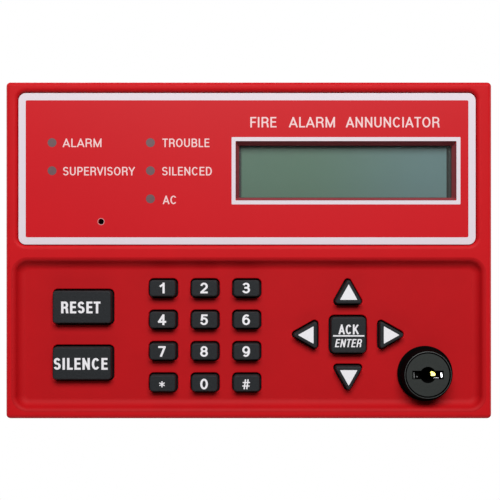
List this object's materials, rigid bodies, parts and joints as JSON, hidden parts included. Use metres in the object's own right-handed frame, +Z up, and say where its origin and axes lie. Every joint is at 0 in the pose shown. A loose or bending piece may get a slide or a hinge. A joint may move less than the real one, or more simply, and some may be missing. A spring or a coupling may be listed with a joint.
{
  "type": "fire alarm annunciator panel",
  "caption": "Wall-mounted red fire alarm annunciator with a display, status lamps, sounder, rubber keypad and a keyswitch",
  "frame": {"origin": "centre of the flat back that rests on the wall", "axes": "+X to the right seen from the front, +Z up, the front faces -Y and +Y goes into the wall"},
  "size_m": [0.228, 0.0387, 0.158],
  "materials": {
    "red_moulding": "satin moulded ABS",
    "printed_label": "printed polycarbonate film",
    "keypad_rubber": "fine matt silicone",
    "clear_window": "clear polished",
    "display_glass": "polarised liquid crystal glass",
    "light_guide": "diffusing",
    "black_steel": "black oxide",
    "circuit_board": "solder resist on glass epoxy",
    "lamp_lens": "diffused lamp body",
    "black_component": "moulded epoxy",
    "terminal_plastic": "moulded nylon",
    "connector_plastic": "moulded nylon",
    "cable_jacket": "PVC insulation",
    "lock_plastic": "moulded black nylon",
    "zinc_steel": "zinc plated"
  },
  "bodies": {
    "housing": {"address_switch": "black_component", "board_screw_1": "zinc_steel", "board_screw_2": "zinc_steel", "board_screw_3": "zinc_steel", "board_screw_4": "zinc_steel", "bus_driver_chip": "black_component", "cover_screw_1": "zinc_steel", "cover_screw_2": "zinc_steel", "display_backlight": "light_guide", "display_bezel": "black_steel", "display_board": "circuit_board", "display_glass": "display_glass", "display_ribbon": "cable_jacket", "display_screw_1": "zinc_steel", "display_screw_2": "zinc_steel", "display_screw_3": "zinc_steel", "display_screw_4": "zinc_steel", "display_window": "clear_window", "filter_capacitor": "black_component", "front_cover": "red_moulding", "keypad_mat": "keypad_rubber", "keyswitch_connector": "connector_plastic", "keyswitch_lead": "cable_jacket", "led_ac_power": "lamp_lens", "led_alarm": "lamp_lens", "led_silenced": "lamp_lens", "led_supervisory": "lamp_lens", "led_trouble": "lamp_lens", "lock_housing": "lock_plastic", "lock_microswitch": "black_component", "lock_nut": "zinc_steel", "main_board": "circuit_board", "microcontroller_chip": "black_component", "overlay_label": "printed_label", "piezo_sounder": "black_component", "rear_housing": "red_moulding", "terminal_block": "terminal_plastic"},
    "key_0": {"key_0": "keypad_rubber"},
    "key_1": {"key_1": "keypad_rubber"},
    "key_2": {"key_2": "keypad_rubber"},
    "key_3": {"key_3": "keypad_rubber"},
    "key_4": {"key_4": "keypad_rubber"},
    "key_5": {"key_5": "keypad_rubber"},
    "key_6": {"key_6": "keypad_rubber"},
    "key_7": {"key_7": "keypad_rubber"},
    "key_8": {"key_8": "keypad_rubber"},
    "key_9": {"key_9": "keypad_rubber"},
    "key_down": {"key_down": "keypad_rubber"},
    "key_enter": {"key_enter": "keypad_rubber"},
    "key_hash": {"key_hash": "keypad_rubber"},
    "key_left": {"key_left": "keypad_rubber"},
    "key_reset": {"key_reset": "keypad_rubber"},
    "key_right": {"key_right": "keypad_rubber"},
    "key_silence": {"key_silence": "keypad_rubber"},
    "key_star": {"key_star": "keypad_rubber"},
    "key_up": {"key_up": "keypad_rubber"},
    "lock_rotor": {"lock_plug": "lock_plastic", "lock_cam": "zinc_steel", "lock_cam_screw": "zinc_steel"},
    "address_dial": {"address_dial": "connector_plastic"}
  },
  "joints": [
    {"name": "key_0_press", "type": "slide", "parent": "housing", "child": "key_0", "axis": [0, 1, 0], "range_m": [0, 0.001], "stiffness_N_per_m": 800, "springref_m": -0.0003},
    {"name": "key_1_press", "type": "slide", "parent": "housing", "child": "key_1", "axis": [0, 1, 0], "range_m": [0, 0.001], "stiffness_N_per_m": 800, "springref_m": -0.0003},
    {"name": "key_2_press", "type": "slide", "parent": "housing", "child": "key_2", "axis": [0, 1, 0], "range_m": [0, 0.001], "stiffness_N_per_m": 800, "springref_m": -0.0003},
    {"name": "key_3_press", "type": "slide", "parent": "housing", "child": "key_3", "axis": [0, 1, 0], "range_m": [0, 0.001], "stiffness_N_per_m": 800, "springref_m": -0.0003},
    {"name": "key_4_press", "type": "slide", "parent": "housing", "child": "key_4", "axis": [0, 1, 0], "range_m": [0, 0.001], "stiffness_N_per_m": 800, "springref_m": -0.0003},
    {"name": "key_5_press", "type": "slide", "parent": "housing", "child": "key_5", "axis": [0, 1, 0], "range_m": [0, 0.001], "stiffness_N_per_m": 800, "springref_m": -0.0003},
    {"name": "key_6_press", "type": "slide", "parent": "housing", "child": "key_6", "axis": [0, 1, 0], "range_m": [0, 0.001], "stiffness_N_per_m": 800, "springref_m": -0.0003},
    {"name": "key_7_press", "type": "slide", "parent": "housing", "child": "key_7", "axis": [0, 1, 0], "range_m": [0, 0.001], "stiffness_N_per_m": 800, "springref_m": -0.0003},
    {"name": "key_8_press", "type": "slide", "parent": "housing", "child": "key_8", "axis": [0, 1, 0], "range_m": [0, 0.001], "stiffness_N_per_m": 800, "springref_m": -0.0003},
    {"name": "key_9_press", "type": "slide", "parent": "housing", "child": "key_9", "axis": [0, 1, 0], "range_m": [0, 0.001], "stiffness_N_per_m": 800, "springref_m": -0.0003},
    {"name": "key_down_press", "type": "slide", "parent": "housing", "child": "key_down", "axis": [0, 1, 0], "range_m": [0, 0.001], "stiffness_N_per_m": 800, "springref_m": -0.0003},
    {"name": "key_enter_press", "type": "slide", "parent": "housing", "child": "key_enter", "axis": [0, 1, 0], "range_m": [0, 0.001], "stiffness_N_per_m": 800, "springref_m": -0.0003},
    {"name": "key_hash_press", "type": "slide", "parent": "housing", "child": "key_hash", "axis": [0, 1, 0], "range_m": [0, 0.001], "stiffness_N_per_m": 800, "springref_m": -0.0003},
    {"name": "key_left_press", "type": "slide", "parent": "housing", "child": "key_left", "axis": [0, 1, 0], "range_m": [0, 0.001], "stiffness_N_per_m": 800, "springref_m": -0.0003},
    {"name": "key_reset_press", "type": "slide", "parent": "housing", "child": "key_reset", "axis": [0, 1, 0], "range_m": [0, 0.001], "stiffness_N_per_m": 800, "springref_m": -0.0003},
    {"name": "key_right_press", "type": "slide", "parent": "housing", "child": "key_right", "axis": [0, 1, 0], "range_m": [0, 0.001], "stiffness_N_per_m": 800, "springref_m": -0.0003},
    {"name": "key_silence_press", "type": "slide", "parent": "housing", "child": "key_silence", "axis": [0, 1, 0], "range_m": [0, 0.001], "stiffness_N_per_m": 800, "springref_m": -0.0003},
    {"name": "key_star_press", "type": "slide", "parent": "housing", "child": "key_star", "axis": [0, 1, 0], "range_m": [0, 0.001], "stiffness_N_per_m": 800, "springref_m": -0.0003},
    {"name": "key_up_press", "type": "slide", "parent": "housing", "child": "key_up", "axis": [0, 1, 0], "range_m": [0, 0.001], "stiffness_N_per_m": 800, "springref_m": -0.0003},
    {"name": "lock_turn", "type": "hinge", "parent": "housing", "child": "lock_rotor", "pos_m": [0.0831, 0, -0.058], "axis": [0, 1, 0], "range_deg": [0, 90]},
    {"name": "address_turn", "type": "hinge", "parent": "housing", "child": "address_dial", "pos_m": [-0.09, 0, -0.02], "axis": [0, 1, 0], "continuous": true}
  ]
}
